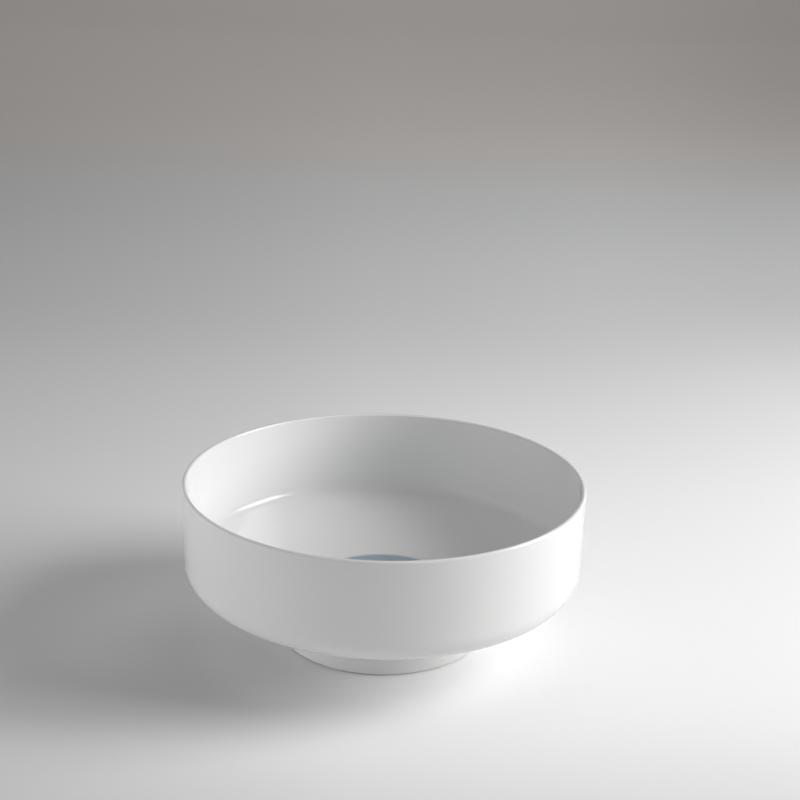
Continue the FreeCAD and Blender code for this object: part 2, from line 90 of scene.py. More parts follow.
# Sizes of the waste and its nut that their boxes don't give, in metres
TAIL_RADIUS = 20.955 * MM
TAIL_WALL = 2.955 * MM
TAIL_ROUND = 0.8 * MM
FLANGE_THICKNESS = 2 * MM
FLANGE_ROUND = 0.9 * MM
THROAT_WIDTH = 3.5 * MM
THROAT_DEPTH = 3 * MM
RELIEF_WIDTH = 0.8 * MM
RELIEF_DEPTH = 0.6 * MM
HUB_DEPTH = 27.9 * MM
HUB_HEIGHT = 5 * MM
HUB_RADIUS = 7 * MM
HUB_BORE = 4 * MM
WEB_ARMS = 4
WEB_WIDTH = 2.4 * MM
WEB_ROUND = 0.5 * MM
WEB_OVERLAP = 0.4 * MM
NUT_FLATS = 6
NUT_HALF_FLATS = 26 * MM
NUT_COLLAR_HEIGHT = 2 * MM
NUT_COLLAR_RADIUS = 30.5 * MM
NUT_CHAMFER = 2.2 * MM
NUT_CHAMFER_SLOPE = math.sqrt(3)
NUT_ROUND = 0.4 * MM
NUT_ROUND_INSET = 0.12 * MM
NUT_BORE_GAP = 0.05 * MM
NUT_SHARP_ANGLE = math.radians(24)
HAIRLINE_ROUND = 0.25 * MM
RELIEF_ROUND = HAIRLINE_ROUND / 2

# The tail's thread. Over one pitch its groove is a peak of this height and slope, cut off flat at 0 and
# 1 times the depth. It fades in over one pitch, and out over a pitch divided by the run-out.
THREAD_PITCH = 2.309 * MM
THREAD_DEPTH = 0.9 * MM
THREAD_PEAK = 1.25
THREAD_SLOPE = 3.2
THREAD_RUN_OUT = 2.0

# Sizes of the cover that its box doesn't give, in metres
COVER_CROWN = 1.1 * MM
COVER_CROWN_ROUND_SHARE = 0.6
COVER_EDGE_ROUND = 0.8 * MM
COVER_LIP_DEPTH = 0.9 * MM
COVER_LIP_WIDTH = 2 * MM
COVER_THICKNESS = 2 * MM
COVER_BOSS_RADIUS = 6.5 * MM
SPINDLE_BORE = 3.05 * MM
SPINDLE_BORE_DEPTH = 2 * MM
AXIS_GAP = 0.02 * MM
AXIS_ROUND = 0.01 * MM

# How finely surfaces are divided
ARC_STEP = math.radians(9)
ARC_LEAST_STEPS = 4
LINE_STEP = 5 * MM
LINE_END_STEP = 0.3 * MM
SHORT_LINE = 3 * LINE_END_STEP
BOWL_SEGMENTS = 288
NUT_SEGMENTS = 288
NUT_FLANK_STEPS = 14
SMALL_SEGMENTS = 144
THREAD_STEPS = 10
WEB_ROUND_STEPS = 3
WEB_ROUND_FULLNESS = 0.5
SAME_PLACE = 0.001 * MM

# The bowl's slight waviness, as fired ware has it, always into the material
WAVE_DEPTH = 0.16 * MM
WAVES_PER_METRE = 7.0

# Where the ware is bare of glaze: a margin above the ground ring, one above the boss inside the foot,
# and how bare the foot's hollow is
BARE_RING_MARGIN = 0.05 * MM
BARE_BOSS_MARGIN = 2 * MM
HOLLOW_BARENESS = 0.34

# Materials. Tones are a dark and a light colour, roughness has its smooth and its rough end, a range is
# the part of a noise that counts, waves are per metre, and depths are in metres.
GLAZE_TONES = ((0.865, 0.865, 0.86), (0.89, 0.89, 0.887))
GLAZE_TONE_WAVES = 6.0
GLAZE_ROUGHNESS = (0.045, 0.085)
GLAZE_ROUGHNESS_WAVES = 22.0
GLAZE_PEEL_WAVES = 150.0
GLAZE_PEEL_DEPTH = 0.006 * MM
GLAZE_IOR = 1.52
WARE_TONES = ((0.60, 0.565, 0.51), (0.72, 0.69, 0.64))
WARE_TONE_WAVES = 420.0
WARE_ROUGHNESS = 0.82
WARE_GRAIN_WAVES = 1900.0
WARE_GRAIN_DEPTH = 0.12 * MM
BARE_EDGE_WAVES = 260.0
BARE_EDGE_RAGGED = 0.5
BARE_EDGE_RANGE = (0.42, 0.58)
SMEAR_WAVES = 45.0
SMEAR_RANGE = (0.35, 0.7)
SMEAR_SHARE = 0.7
RING_SHARE = 0.3
RING_DULLNESS = 0.05
DROPS_PER_METRE = 95.0
DROP_RADIUS = 0.24
DROP_EDGE = 0.045
DROP_DULLNESS = 0.05
COVER_TONES = ((0.50, 0.64, 0.75), (0.62, 0.76, 0.86))
COVER_ROUGHNESS = (0.10, 0.17)
COVER_RING_WAVES = 900.0
COVER_RING_DEPTH = 0.0015 * MM
PLATE_TONES = ((0.58, 0.60, 0.62), (0.70, 0.71, 0.72))
PLATE_ROUGHNESS = (0.07, 0.14)
PLATE_RING_WAVES = 900.0
PLATE_RING_DEPTH = 0.002 * MM
BRASS_TONES = ((0.60, 0.43, 0.20), (0.78, 0.60, 0.33))
BRASS_ROUGHNESS = (0.22, 0.38)
BRASS_RING_WAVES = 1400.0
BRASS_RING_DEPTH = 0.006 * MM
RUBBER_TONES = ((0.018, 0.018, 0.019), (0.055, 0.055, 0.057))
RUBBER_ROUGHNESS = (0.48, 0.72)
RUBBER_BLOOM_WAVES = 140.0
RUBBER_BLOOM_RANGE = (0.4, 0.75)
RUBBER_GRAIN_WAVES = 2600.0
RUBBER_GRAIN_DEPTH = 0.03 * MM
WASHER_TONES = ((0.36, 0.37, 0.38), (0.46, 0.47, 0.48))
WHITE_PLASTIC_TONES = ((0.72, 0.72, 0.68), (0.80, 0.80, 0.77))
PLASTIC_FLOW_WAVES = 60.0
PLASTIC_FLOW_STRETCH = (1.0, 1.0, 0.3)
PLASTIC_ROUGHNESS = (0.34, 0.5)
PLASTIC_ROUGHNESS_WAVES = 240.0
PLASTIC_GRAIN_WAVES = 3200.0
PLASTIC_GRAIN_DEPTH = 0.02 * MM
WIRE_TONES = ((0.40, 0.41, 0.43), (0.62, 0.62, 0.63))
WIRE_ROUGHNESS = (0.2, 0.42)
WIRE_LINE_WAVES = 2400.0
WIRE_LINE_STRETCH = (1.0, 1.0, 6.0)
WIRE_LINE_RANGE = (0.2, 0.8)

# The octaves of a noise, how strong its finer octaves are, and the range that most of its values lie in
COARSE = 2.0
MIDDLING = 3.0
FINE = 4.0
FINEST = 5.0
SOFT = 0.5
HARSH = 0.6
HARSHER = 0.65
COMMON_RANGE = (0.3, 0.7)

# Sockets of a Mix node, which have the same names for values and for colours
MIX_VALUES = slice(2, 4)
MIX_VALUE_RESULT = 0
MIX_COLORS = slice(6, 8)
MIX_COLOR_RESULT = 2

# The colour of the paper's glow and of the light from all around
WHITE = (1.0, 1.0, 1.0, 1.0)

# The studio's paper as it lights the object: near tone, far tone, and the places along Y between them
PAPER_TONES = ((0.80, 0.80, 0.80), (0.78, 0.765, 0.75))
PAPER_FAR_RANGE = (0.8, 5.0)
PAPER_ROUGHNESS = 0.85
PAPER_SPECULAR = 0.1

# The paper as it is seen, with painted light and shade. Each stop is (place, tone, warmth): along Y the
# paper is painted bright around the basin, greyer behind it, and paler and warm far off.
SEEN_TONES = ((-0.34, 0.96, 0), (-0.16, 1.12, 0), (0.12, 1.12, 0), (0.5, 1.02, 0), (1.0, 0.85, 0),
              (1.6, 0.84, 0), (2.4, 0.918, 0), (3.2, 1.03, 0.9), (4.3, 1.175, 1), (7.0, 1.33, 1),
              (8.6, 1.2, 1.2))
WARM_TINT = (1.04, 0.985, 0.945)
TONE_REACH = 1.5

# To the sides the paper is seen darker with painted shade, most of all on the left beside the foot,
# where it is a painted shadow. How far a place is to the side is told by its share: its distance across,
# divided by its distance from near the camera along Y, which is the place along Y plus the reach, and
# never less than the least.
SHARE_REACH = 1.5
SHARE_LEAST = 0.6
LEFT_RANGE = (-0.26, -0.02)
LEFT_TONE = 0.86
BESIDE_RANGE = (-0.13, 0.08)
BESIDE_TONES = ((-0.30, 1.0, 0), (-0.24, 0.96, 0), (-0.18, 0.81, 0), (-0.08, 0.89, 0), (0.3, 0.91, 0),
                (0.95, 1.0, 0))
RIGHT_RANGE = (0.10, 0.27)
RIGHT_FAR_RANGE = (0.8, 1.5)
RIGHT_TONE = 0.885

# The soft painted shadow on the paper left of the foot, around its place
SHADE_PLACE = (-0.15, -0.08, 0.0)
SHADE_RANGE = (0.03, 0.17)
SHADE_TONE = 0.82

# Under the key light and just before the low light the paper is seen dimmer, painted shade that offsets
# their pools of light, with stops along X that hold near the middle and fade with the distance from it
# along Y.
KEY_POOL_TONES = ((0.6, 1.0, 0), (1.2, 0.72, 0), (1.8, 0.49, 0), (2.4, 0.35, 0), (2.8, 0.31, 0),
                  (3.2, 0.42, 0), (3.8, 0.95, 0), (4.4, 1.0, 0))
KEY_POOL_RANGE = (0.3, 2.1)
LOW_POOL_TONES = ((-1.99, 1.0, 0), (-1.92, 0.95, 0), (-1.9, 0.2, 0), (-1.85, 0.18, 0), (-1.7, 0.42, 0),
                  (-1.5, 0.8, 0), (-1.2, 1.0, 0))
LOW_POOL_RANGE = (0.95, 1.25)

# Outside the photo's view the paper glows a little where it is seen, so that it stays pale
BEYOND_RANGE = (0.3, 0.7)
LEFT_DIM_RANGE = (-0.6, -2.5)
RIGHT_DIM_RANGE = (2.5, 3.6)
IN_FRONT_RANGE = (-0.7, -4.0)
OUTSIDE_GLOW = 0.30

# The floor, its cove and its backdrop, with outskirts just below them, in metres
FLOOR_HALF_WIDTH = 9.0
FLOOR_FRONT = -5.0
FLOOR_BACK = 7.5
COVE_RADIUS = 3.5
COVE_STEPS = 24
WALL_HEIGHT = 7.0
OUTSKIRTS_REACH = 40.0
OUTSKIRTS_DROP = 2 * MM

# The photo's camera: its sensor in millimetres, its place in metres and its angles in radians
CAMERA_FOCAL_PIXELS = 1500.0
PHOTO_PIXELS = 800.0
SENSOR = 36.0
CAMERA_PITCH = 0.321
CAMERA_ROLL = 0.0255
CAMERA_PLACE = (0.01345, -1.3909, 0.7087)

# The lights, their places and sizes in metres, and the strength of the light from all around
AIM = (0.0, 0.0, 0.06)
KEY_PLACE = (2.864, 0.0, 1.488)
KEY_SIZE = (1.8, 2.15)
KEY_WATTS = 97.0
FILL_PLACE = (-2.057, 0.0, 2.511)
FILL_SIZE = (2.0, 2.0)
FILL_WATTS = 9.6
LOW_PLACE = (-1.9, 0.0, 0.09)
LOW_SIZE = (2.2, 0.13)
LOW_WATTS = 11.8
WORLD_HORIZON = 0.475
WORLD_TOP_LIT = 0.08
WORLD_TOP_SEEN = 0.45


def lowest(node):
    """The height of a node's lowest point."""
    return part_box(node)[0].z


def highest(node):
    """The height of a node's highest point."""
    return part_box(node)[1].z


def reach(node):
    """How far a node reaches from the axis."""
    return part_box(node)[1].x


def arc_points(before, corner, after, radius):
    """The points of an arc that rounds a corner."""
    back = (before - corner).normalized()
    ahead = (after - corner).normalized()
    half_angle = back.angle(ahead) / 2
    tangent = radius / math.tan(half_angle)
    centre = corner + (back + ahead).normalized() * (radius / math.sin(half_angle))
    start = corner + back * tangent - centre
    sweep = math.pi - 2 * half_angle
    if start.cross(corner + ahead * tangent - centre) < 0:
        sweep = -sweep
    count = max(ARC_LEAST_STEPS, math.ceil(abs(sweep) / ARC_STEP))
    turned = []
    for index in range(count + 1):
        spin = Matrix.Rotation(sweep * index / count, 2)
        turned.append(centre + spin @ start)
    return turned


def line_points(start, end):
    """Points along a line, without its ends: close to each end, and evenly between."""
    span = end - start
    length = span.length
    if length < SHORT_LINE:
        return []
    edge = LINE_END_STEP / length
    count = max(1, math.ceil(length / LINE_STEP))
    shares = [edge + (1 - 2 * edge) * index / count for index in range(count + 1)]
    return [start + span * share for share in shares]


def profile(corners):
    """A closed outline through corners, each (radius, height, round), as fine points."""
    vertices = [Vector(corner[:2]) for corner in corners]
    arcs = []
    for index, corner in enumerate(corners):
        after = vertices[(index + 1) % len(vertices)]
        arcs.append(arc_points(vertices[index - 1], vertices[index], after, corner[2]))
    points = []
    for index, arc in enumerate(arcs):
        points += arc
        points += line_points(arc[-1], arcs[(index + 1) % len(arcs)][0])
    return points


def turned_ring(points, segments, shape=None):
    """A closed surface turned about the Z axis. shape moves a point, given its angle."""
    made = bmesh.new()
    rings = []
    for index in range(segments):
        angle = FULL_TURN * index / segments
        ring = []
        for point in points:
            radius, height = shape(point, angle) if shape else point
            place = (radius * math.cos(angle), radius * math.sin(angle), height)
            ring.append(made.verts.new(place))
        rings.append(ring)
    count = len(points)
    for index, ring in enumerate(rings):
        beside = rings[(index + 1) % segments]
        for low in range(count):
            high = (low + 1) % count
            made.faces.new((ring[low], beside[low], beside[high], ring[high]))
    return made


def new_piece(name, mesh_maker, body, material, replaced=()):
    """A piece of the object from a bmesh, which rides on a body and stands for CAD nodes."""
    mesh = bpy.data.meshes.new(name)
    bmesh.ops.recalc_face_normals(mesh_maker, faces=mesh_maker.faces[:])
    mesh_maker.to_mesh(mesh)
    mesh_maker.free()
    mesh.shade_smooth()
    mesh.materials.append(material)
    piece = bpy.data.objects.new(name, mesh)
    bpy.context.scene.collection.objects.link(piece)
    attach(piece, body)
    if replaced:
        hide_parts(*replaced)
    return piece


# Node helpers

def new_material(name):
    """An empty node material with a Principled shader and its output."""
    material = bpy.data.materials.new(name)
    material.use_nodes = True
    tree = material.node_tree
    tree.nodes.clear()
    shader = tree.nodes.new("ShaderNodeBsdfPrincipled")
    output = tree.nodes.new("ShaderNodeOutputMaterial")
    tree.links.new(shader.outputs["BSDF"], output.inputs["Surface"])
    return material, tree, shader


def put(tree, target, source):
    """Links a socket to an input, or sets the input to a value."""
    if isinstance(source, bpy.types.NodeSocket):
        tree.links.new(source, target)
    else:
        target.default_value = source


def calculate(tree, operation, *sources):
    """A Math node's result."""
    node = tree.nodes.new("ShaderNodeMath")
    node.operation = operation
    for target, source in zip(node.inputs, sources):
        put(tree, target, source)
    return node.outputs[0]


def product(tree, first, *others):
    """Values multiplied."""
    for other in others:
        first = calculate(tree, "MULTIPLY", first, other)
    return first


def calculate_vector(tree, operation, result, **sources):
    """A Vector Math node's result, from sources named Vector, Vector_001 or Scale."""
    node = tree.nodes.new("ShaderNodeVectorMath")
    node.operation = operation
    for target in node.inputs:
        if target.identifier in sources:
            put(tree, target, sources[target.identifier])
    return node.outputs[result]


def scaled(tree, color, factor):
    """A colour times a factor."""
    return calculate_vector(tree, "SCALE", "Vector", Vector=color, Scale=factor)


def distance_to(tree, place, point):
    """How far a place is from a point, in metres."""
    return calculate_vector(tree, "DISTANCE", "Value", Vector=place, Vector_001=point)


def remap(tree, source, low, high, to_low, to_high):
    """A value moved from one range to another, and held inside it."""
    node = tree.nodes.new("ShaderNodeMapRange")
    for target, given in zip(node.inputs, (source, low, high, to_low, to_high)):
        put(tree, target, given)
    return node.outputs[0]


def eased(tree, source, low, high, to_low, to_high):
    """A value moved from one range to another with soft ends, and held inside it."""
    result = remap(tree, source, low, high, to_low, to_high)
    result.node.interpolation_type = "SMOOTHSTEP"
    return result


def blend_values(tree, share, first, second):
    """A mix of two values."""
    node = tree.nodes.new("ShaderNodeMix")
    put(tree, node.inputs[0], share)
    for target, source in zip(node.inputs[MIX_VALUES], (first, second)):
        put(tree, target, source)
    return node.outputs[MIX_VALUE_RESULT]


def blend_colors(tree, share, first, second):
    """A mix of two colours."""
    node = tree.nodes.new("ShaderNodeMix")
    node.data_type = "RGBA"
    put(tree, node.inputs[0], share)
    for target, source in zip(node.inputs[MIX_COLORS], (first, second)):
        put(tree, target, source if isinstance(source, bpy.types.NodeSocket) else (*source, 1))
    return node.outputs[MIX_COLOR_RESULT]


def place_in_object(tree, stretch=(1, 1, 1)):
    """The place on the object in metres, stretched along each axis."""
    coordinates = tree.nodes.new("ShaderNodeTexCoord")
    mapping = tree.nodes.new("ShaderNodeMapping")
    mapping.inputs["Scale"].default_value = stretch
    tree.links.new(coordinates.outputs["Object"], mapping.inputs["Vector"])
    return mapping.outputs["Vector"]


def parts_of(tree, vector):
    """The X, Y and Z of a vector."""
    parts = tree.nodes.new("ShaderNodeSeparateXYZ")
    tree.links.new(vector, parts.inputs["Vector"])
    return parts.outputs["X"], parts.outputs["Y"], parts.outputs["Z"]


def from_axis(tree):
    """The distance from the Z axis and the height, in metres."""
    x, y, z = parts_of(tree, place_in_object(tree))
    square = calculate(tree, "ADD", product(tree, x, x), product(tree, y, y))
    return calculate(tree, "SQRT", square), z


def cloud(tree, waves, octaves=MIDDLING, harshness=SOFT, stretch=(1, 1, 1), vector=None):
    """Noise from 0 to 1, with its waves per metre."""
    node = tree.nodes.new("ShaderNodeTexNoise")
    node.inputs["Scale"].default_value = waves
    node.inputs["Detail"].default_value = octaves
    node.inputs["Roughness"].default_value = harshness
    tree.links.new(vector or place_in_object(tree, stretch), node.inputs["Vector"])
    return node.outputs["Fac"]


def bump(tree, height, depth, under=None):
    """A bump whose height of 1 stands a depth in metres above the surface."""
    node = tree.nodes.new("ShaderNodeBump")
    node.inputs["Strength"].default_value = 1.0
    node.inputs["Distance"].default_value = depth
    tree.links.new(height, node.inputs["Height"])
    if under:
        tree.links.new(under, node.inputs["Normal"])
    return node.outputs["Normal"]


def seen_directly(tree):
    """1 where the camera, a reflection or a view through glass shows it, 0 where it only lights."""
    rays = tree.nodes.new("ShaderNodeLightPath").outputs
    indirectly = calculate(tree, "MAXIMUM", rays["Is Glossy Ray"], rays["Is Transmission Ray"])
    return calculate(tree, "MAXIMUM", rays["Is Camera Ray"], indirectly)


def tone_ramp(tree, place, stops):
    """A smooth ramp of tones over a place in metres. Each stop is (place, tone, warmth)."""
    first, last = stops[0][0], stops[-1][0]
    ramp = tree.nodes.new("ShaderNodeValToRGB")
    ramp.color_ramp.interpolation = "CARDINAL"
    while len(ramp.color_ramp.elements) < len(stops):
        ramp.color_ramp.elements.new(1.0)
    for element, (stop, tone, warmth) in zip(ramp.color_ramp.elements, stops):
        element.position = (stop - first) / (last - first)
        tint = [1 + warmth * (part - 1) for part in WARM_TINT]
        element.color = (*[tone / TONE_REACH * part for part in tint], 1)
    put(tree, ramp.inputs["Fac"], remap(tree, place, first, last, 0.0, 1.0))
    return scaled(tree, ramp.outputs["Color"], TONE_REACH)


# Materials

def glaze():
    """White glaze over ceramic, with bare ground ware where the bare attribute is high."""
    material, tree, shader = new_material("white_glaze")
    attribute = tree.nodes.new("ShaderNodeAttribute")
    attribute.attribute_name = "bare"
    edge_noise = cloud(tree, BARE_EDGE_WAVES, FINE)
    ragged = calculate(tree, "MULTIPLY_ADD", edge_noise, BARE_EDGE_RAGGED, -BARE_EDGE_RAGGED / 2)
    bare = calculate(tree, "ADD", attribute.outputs["Fac"], ragged)
    bare = remap(tree, bare, *BARE_EDGE_RANGE, 0.0, 1.0)
    clean = blend_colors(tree, cloud(tree, GLAZE_TONE_WAVES, COARSE), *GLAZE_TONES)
    ground = blend_colors(tree, cloud(tree, WARE_TONE_WAVES, FINEST), *WARE_TONES)
    put(tree, shader.inputs["Base Color"], blend_colors(tree, bare, clean, ground))
    gloss = remap(tree, cloud(tree, GLAZE_ROUGHNESS_WAVES), *COMMON_RANGE, *GLAZE_ROUGHNESS)
    put(tree, shader.inputs["Roughness"], blend_values(tree, bare, gloss, WARE_ROUGHNESS))
    peel = bump(tree, cloud(tree, GLAZE_PEEL_WAVES, COARSE), GLAZE_PEEL_DEPTH)
    grain = product(tree, cloud(tree, WARE_GRAIN_WAVES), bare)
    put(tree, shader.inputs["Normal"], bump(tree, grain, WARE_GRAIN_DEPTH, under=peel))
    shader.inputs["IOR"].default_value = GLAZE_IOR
    return material


def drop_marks(tree):
    """The faint outlines of dried drops, 1 on an outline and 0 away from it."""
    drops = tree.nodes.new("ShaderNodeTexVoronoi")
    drops.inputs["Scale"].default_value = DROPS_PER_METRE
    drops.inputs["Randomness"].default_value = 1.0
    tree.links.new(place_in_object(tree), drops.inputs["Vector"])
    off_edge = calculate(tree, "SUBTRACT", drops.outputs["Distance"], DROP_RADIUS)
    return remap(tree, calculate(tree, "ABSOLUTE", off_edge), 0.0, DROP_EDGE, 1.0, 0.0)


def turned_metal(name, tones, roughness, ring_waves, ring_depth):
    """Metal with fine rings from the lathe, faint smears and a few drop marks."""
    material, tree, shader = new_material(name)
    radius, height = from_axis(tree)
    rings_at = tree.nodes.new("ShaderNodeCombineXYZ")
    put(tree, rings_at.inputs["X"], radius)
    put(tree, rings_at.inputs["Y"], height)
    rings = cloud(tree, ring_waves, FINE, HARSHER, vector=rings_at.outputs["Vector"])
    smear = cloud(tree, SMEAR_WAVES, FINEST, HARSH)
    tone = calculate(tree, "ADD", product(tree, smear, SMEAR_SHARE), product(tree, rings, RING_SHARE))
    put(tree, shader.inputs["Base Color"], blend_colors(tree, tone, *tones))
    dull = remap(tree, smear, *SMEAR_RANGE, *roughness)
    dull = calculate(tree, "ADD", dull, product(tree, drop_marks(tree), DROP_DULLNESS))
    dull = calculate(tree, "ADD", dull, product(tree, rings, RING_DULLNESS))
    put(tree, shader.inputs["Roughness"], dull)
    put(tree, shader.inputs["Normal"], bump(tree, rings, ring_depth))
    shader.inputs["Metallic"].default_value = 1.0
    return material


def rubber():
    """Black moulded rubber with a dull bloom."""
    material, tree, shader = new_material("seal_rubber")
    bloom = cloud(tree, RUBBER_BLOOM_WAVES, FINEST, HARSH)
    bloom = remap(tree, bloom, *RUBBER_BLOOM_RANGE, 0.0, 1.0)
    put(tree, shader.inputs["Base Color"], blend_colors(tree, bloom, *RUBBER_TONES))
    put(tree, shader.inputs["Roughness"], remap(tree, bloom, 0.0, 1.0, *RUBBER_ROUGHNESS))
    put(tree, shader.inputs["Normal"], bump(tree, cloud(tree, RUBBER_GRAIN_WAVES), RUBBER_GRAIN_DEPTH))
    return material


def moulded(name, tones):
    """Moulded plastic with a fine spark-eroded texture and faint flow marks."""
    material, tree, shader = new_material(name)
    flow = cloud(tree, PLASTIC_FLOW_WAVES, stretch=PLASTIC_FLOW_STRETCH)
    put(tree, shader.inputs["Base Color"], blend_colors(tree, flow, *tones))
    dull = remap(tree, cloud(tree, PLASTIC_ROUGHNESS_WAVES), *COMMON_RANGE, *PLASTIC_ROUGHNESS)
    put(tree, shader.inputs["Roughness"], dull)
    grain = cloud(tree, PLASTIC_GRAIN_WAVES, COARSE)
    put(tree, shader.inputs["Normal"], bump(tree, grain, PLASTIC_GRAIN_DEPTH))
    return material


def drawn_wire():
    """Bright spring wire with drawing lines."""
    material, tree, shader = new_material("spring_wire")
    lines = cloud(tree, WIRE_LINE_WAVES, MIDDLING, HARSH, WIRE_LINE_STRETCH)
    put(tree, shader.inputs["Base Color"], blend_colors(tree, lines, *WIRE_TONES))
    put(tree, shader.inputs["Roughness"], remap(tree, lines, *WIRE_LINE_RANGE, *WIRE_ROUGHNESS))
    shader.inputs["Metallic"].default_value = 1.0
    return material


def painted_side_shade(tree, share, along):
    """Painted shade: how much darker the paper is seen to the left and to the right of the basin, with a
    painted shadow beside the foot.
    """
    left = remap(tree, share, *LEFT_RANGE, LEFT_TONE, 1.0)
    beside = eased(tree, share, *BESIDE_RANGE, tone_ramp(tree, along, BESIDE_TONES), 1.0)
    right_tone = eased(tree, along, *RIGHT_FAR_RANGE, 1.0, RIGHT_TONE)
    right = eased(tree, share, *RIGHT_RANGE, 1.0, right_tone)
    return product(tree, left, beside, right)


def painted_pool_shade(tree, across, along):
    """Painted shade: how much dimmer the paper is seen where the key light and the low light stand close to
    it, offsetting their pools of light.
    """
    off_middle = calculate(tree, "ABSOLUTE", along)
    key_tone = tone_ramp(tree, across, KEY_POOL_TONES)
    low_tone = tone_ramp(tree, across, LOW_POOL_TONES)
    key_pool = eased(tree, off_middle, *KEY_POOL_RANGE, key_tone, 1.0)
    low_pool = eased(tree, off_middle, *LOW_POOL_RANGE, low_tone, 1.0)
    return product(tree, key_pool, low_pool)


def outside_view(tree, share, across, along):
    """1 far outside the photo's view, to its sides or behind its camera, and 0 inside it."""
    beyond = eased(tree, calculate(tree, "ABSOLUTE", share), *BEYOND_RANGE, 0.0, 1.0)
    left_dim = remap(tree, across, *LEFT_DIM_RANGE, 0.0, beyond)
    right_dim = remap(tree, across, *RIGHT_DIM_RANGE, 0.0, beyond)
    in_front = eased(tree, along, *IN_FRONT_RANGE, 0.0, 1.0)
    return calculate(tree, "MAXIMUM", calculate(tree, "MAXIMUM", left_dim, right_dim), in_front)


def studio_paper():
    """The pale surface and backdrop, with its own tone where the camera or a reflection shows it, which
    holds painted light and shade.
    """
    material, tree, shader = new_material("studio_paper")
    place = place_in_object(tree)
    across, along, _ = parts_of(tree, place)
    paper = blend_colors(tree, remap(tree, along, *PAPER_FAR_RANGE, 0.0, 1.0), *PAPER_TONES)
    from_camera = calculate(tree, "ABSOLUTE", calculate(tree, "ADD", along, SHARE_REACH))
    from_camera = calculate(tree, "MAXIMUM", from_camera, SHARE_LEAST)
    share = calculate(tree, "DIVIDE", across, from_camera)
    # The seen tones are scaled by painted shade: to the sides, near the lamps, and a painted shadow left of
    # the foot
    shade = eased(tree, distance_to(tree, place, SHADE_PLACE), *SHADE_RANGE, SHADE_TONE, 1.0)
    factor = product(tree, painted_side_shade(tree, share, along), painted_pool_shade(tree, across, along), shade)
    painted_light_and_shade = scaled(tree, tone_ramp(tree, along, SEEN_TONES), factor)
    seen = seen_directly(tree)
    put(tree, shader.inputs["Base Color"], blend_colors(tree, seen, paper, painted_light_and_shade))
    glow = product(tree, outside_view(tree, share, across, along), seen, OUTSIDE_GLOW)
    put(tree, shader.inputs["Emission Strength"], glow)
    shader.inputs["Emission Color"].default_value = WHITE
    shader.inputs["Roughness"].default_value = PAPER_ROUGHNESS
    shader.inputs["Specular IOR Level"].default_value = PAPER_SPECULAR
    return material


# The pieces

def inward_directions(points):
    """For each point of a closed outline, the direction into the material."""
    area = sum(a.cross(b) for a, b in zip(points, points[1:] + points[:1]))
    side = 1 if area > 0 else -1
    directions = []
    for index, point in enumerate(points):
        along = (points[(index + 1) % len(points)] - points[index - 1]).normalized()
        directions.append(Vector((-along.y, along.x)) * side)
    return directions


def bareness(point, hollow, boss_height):
    """How bare of glaze the ware is: the ground foot ring fully, its hollow in part."""
    radius, height = point
    ring_top = GROUND_RING_HEIGHT + BARE_RING_MARGIN
    if height < ring_top and radius < FOOT_RADIUS - GROUND_RING_INSET / 2:
        return 1.0
    hollow_top = min(HOLLOW_HEIGHT, boss_height + BARE_BOSS_MARGIN)
    if height < hollow_top and radius < hollow + FOOT_EDGE_ROUND:
        return HOLLOW_BARENESS
    return 0.0


def make_bowl():
    """The bowl: the fired shell with its rim, conical floor, cover's well and hollow foot."""
    outside = reach("basin_bowl")
    top = highest("basin_bowl")
    base = lowest("basin_bowl")
    boss_height = lowest("lower_seal") + BOSS_ABOVE_SEAL
    well = reach("drain_cover") + WELL_GAP
    floor = WELL_EDGE_HEIGHT - WELL_DEPTH
    seat = reach("waste_body") + SEAT_GAP
    seat_height = lowest("flange_seal")
    hole = TAIL_RADIUS + HOLE_GAP
    hollow = FOOT_RADIUS - FOOT_WALL
    points = profile([
        (hole, boss_height, SEAT_ROUND),
        (BOSS_RADIUS, boss_height, BOSS_ROUND),
        (hollow - HOLLOW_LEAN, HOLLOW_HEIGHT, HOLLOW_ROUND),
        (hollow, base, FOOT_EDGE_ROUND),
        (FOOT_RADIUS - GROUND_RING_INSET, base, FOOT_EDGE_ROUND),
        (FOOT_RADIUS - GROUND_RING_INSET, base + GROUND_RING_HEIGHT, GROUND_STEP_ROUND),
        (FOOT_RADIUS, base + GROUND_RING_HEIGHT, FOOT_EDGE_ROUND),
        (FOOT_RADIUS, NECK_HEIGHT, NECK_ROUND),
        (outside - WALL_LEAN, OUTER_CORNER_HEIGHT, OUTER_CORNER_ROUND),
        (outside, top, RIM_ROUND),
        (outside - RIM_WIDTH, top, RIM_ROUND),
        (outside - RIM_WIDTH - INNER_LEAN, INNER_CORNER_HEIGHT, INNER_CORNER_ROUND),
        (well, WELL_EDGE_HEIGHT, WELL_ROUND),
        (well - WELL_LEAN, floor, WELL_ROUND),
        (seat, floor - WELL_FALL, SEAT_ROUND),
        (seat, seat_height, SEAT_ROUND),
        (hole, seat_height, SEAT_ROUND),
    ])
    inwards = inward_directions(points)
    places = {tuple(point): index for index, point in enumerate(points)}

    def wave(point, angle):
        """Sinks a point by the waviness at its place, which fades out down the foot."""
        index = places[tuple(point)]
        ring = (math.cos(angle) * point.x, math.sin(angle) * point.x, point.y)
        depth = (noise.noise(Vector(ring) * WAVES_PER_METRE) + 1) / 2 * WAVE_DEPTH
        if point.x > hollow - HOLLOW_LEAN:
            depth *= min(1, point.y / NECK_HEIGHT)
        return point + inwards[index] * depth

    made = turned_ring(points, BOWL_SEGMENTS, wave)
    piece = new_piece("bowl_shell", made, "root", glaze(), ["basin_bowl"])
    bare = piece.data.attributes.new("bare", "FLOAT", "POINT")
    shares = [bareness(point, hollow, boss_height) for point in points]
    bare.data.foreach_set("value", shares * BOWL_SEGMENTS)


